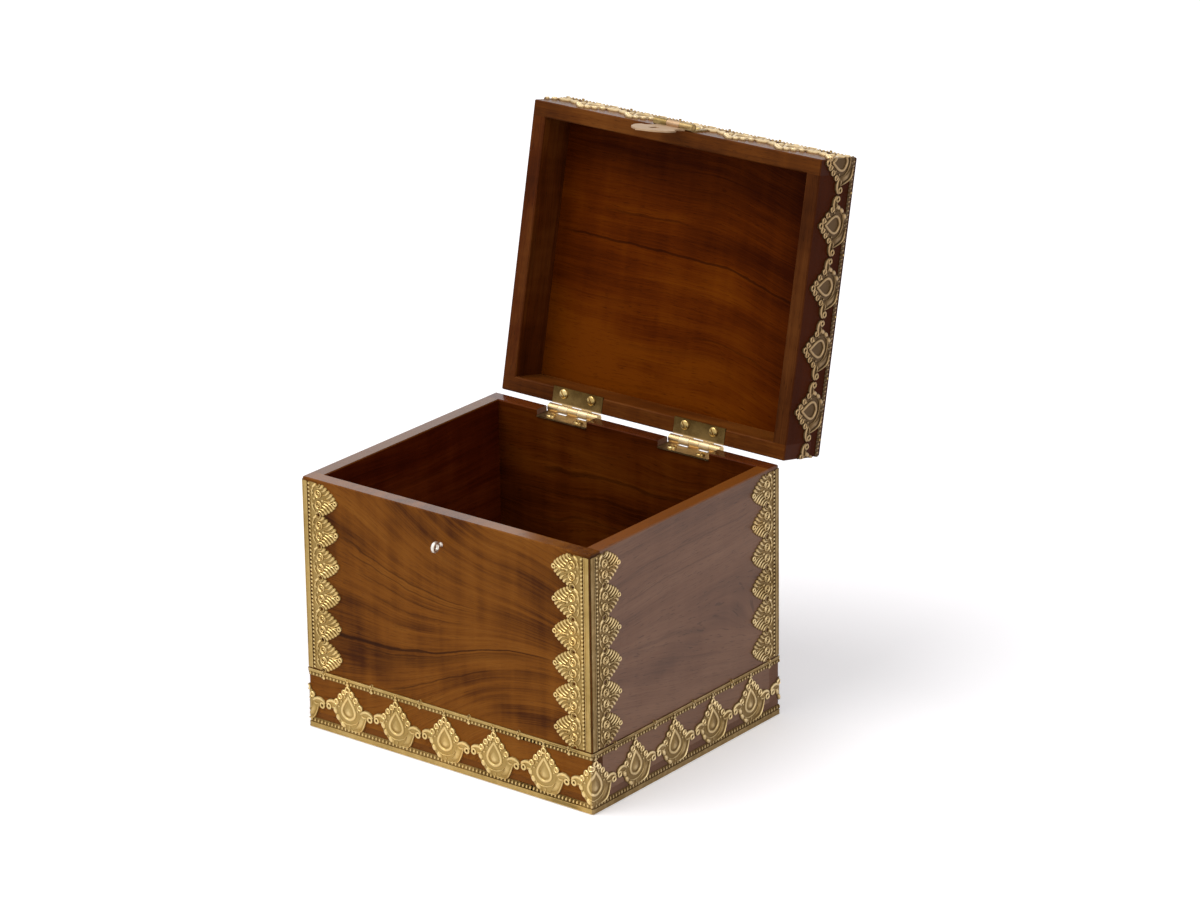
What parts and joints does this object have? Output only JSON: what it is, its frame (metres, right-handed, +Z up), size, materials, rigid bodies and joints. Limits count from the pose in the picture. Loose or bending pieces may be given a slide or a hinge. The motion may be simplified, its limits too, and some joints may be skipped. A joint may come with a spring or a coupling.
{
  "type": "hinged box",
  "caption": "Small hinged wooden box with stamped brass trim, butt hinges and a hasp over a screw eye, lid standing open.",
  "frame": {"origin": "middle of the flat underside, on the surface that the box stands on", "axes": "+Z up, -Y towards the front with the screw eye, +X towards the box's right"},
  "size_m": [0.1828, 0.2241, 0.2896],
  "materials": {
    "body_wood": "satin",
    "lid_wood": "satin",
    "stamped_brass": "satin",
    "fitting_brass": "aged satin",
    "tack_brass": "satin"
  },
  "bodies": {
    "chest": {"front_board": "body_wood", "back_board": "body_wood", "left_board": "body_wood", "right_board": "body_wood", "floor_board": "body_wood", "front_left_strip": "stamped_brass", "front_right_strip": "stamped_brass", "left_front_strip": "stamped_brass", "left_back_strip": "stamped_brass", "right_front_strip": "stamped_brass", "right_back_strip": "stamped_brass", "base_ribbon": "stamped_brass", "corner_strip_tacks": "tack_brass", "base_ribbon_tacks": "tack_brass", "left_hinge_body_leaf": "fitting_brass", "right_hinge_body_leaf": "fitting_brass", "left_hinge_pin": "fitting_brass", "right_hinge_pin": "fitting_brass", "body_leaf_screws": "fitting_brass", "screw_eye": "fitting_brass"},
    "lid": {"lid_front_board": "lid_wood", "lid_back_board": "lid_wood", "lid_left_board": "lid_wood", "lid_right_board": "lid_wood", "lid_top_panel": "lid_wood", "lid_ribbon": "stamped_brass", "lid_ribbon_tacks": "tack_brass", "left_hinge_lid_leaf": "fitting_brass", "right_hinge_lid_leaf": "fitting_brass", "lid_leaf_screws": "fitting_brass", "hasp_leaf": "fitting_brass", "hasp_screws": "fitting_brass", "hasp_pin": "fitting_brass"},
    "hasp": {"hasp_plate": "fitting_brass"}
  },
  "joints": [
    {"name": "lid_hinge", "type": "hinge", "parent": "chest", "child": "lid", "pos_m": [0, 0.07785, 0.1325], "axis": [1, 0, 0], "range_deg": [0, 102]},
    {"name": "hasp_hinge", "type": "hinge", "parent": "lid", "child": "hasp", "pos_m": [-0.0015, 0.11289, 0.28387], "axis": [-1, 0, 0], "range_deg": [0, 180]}
  ]
}
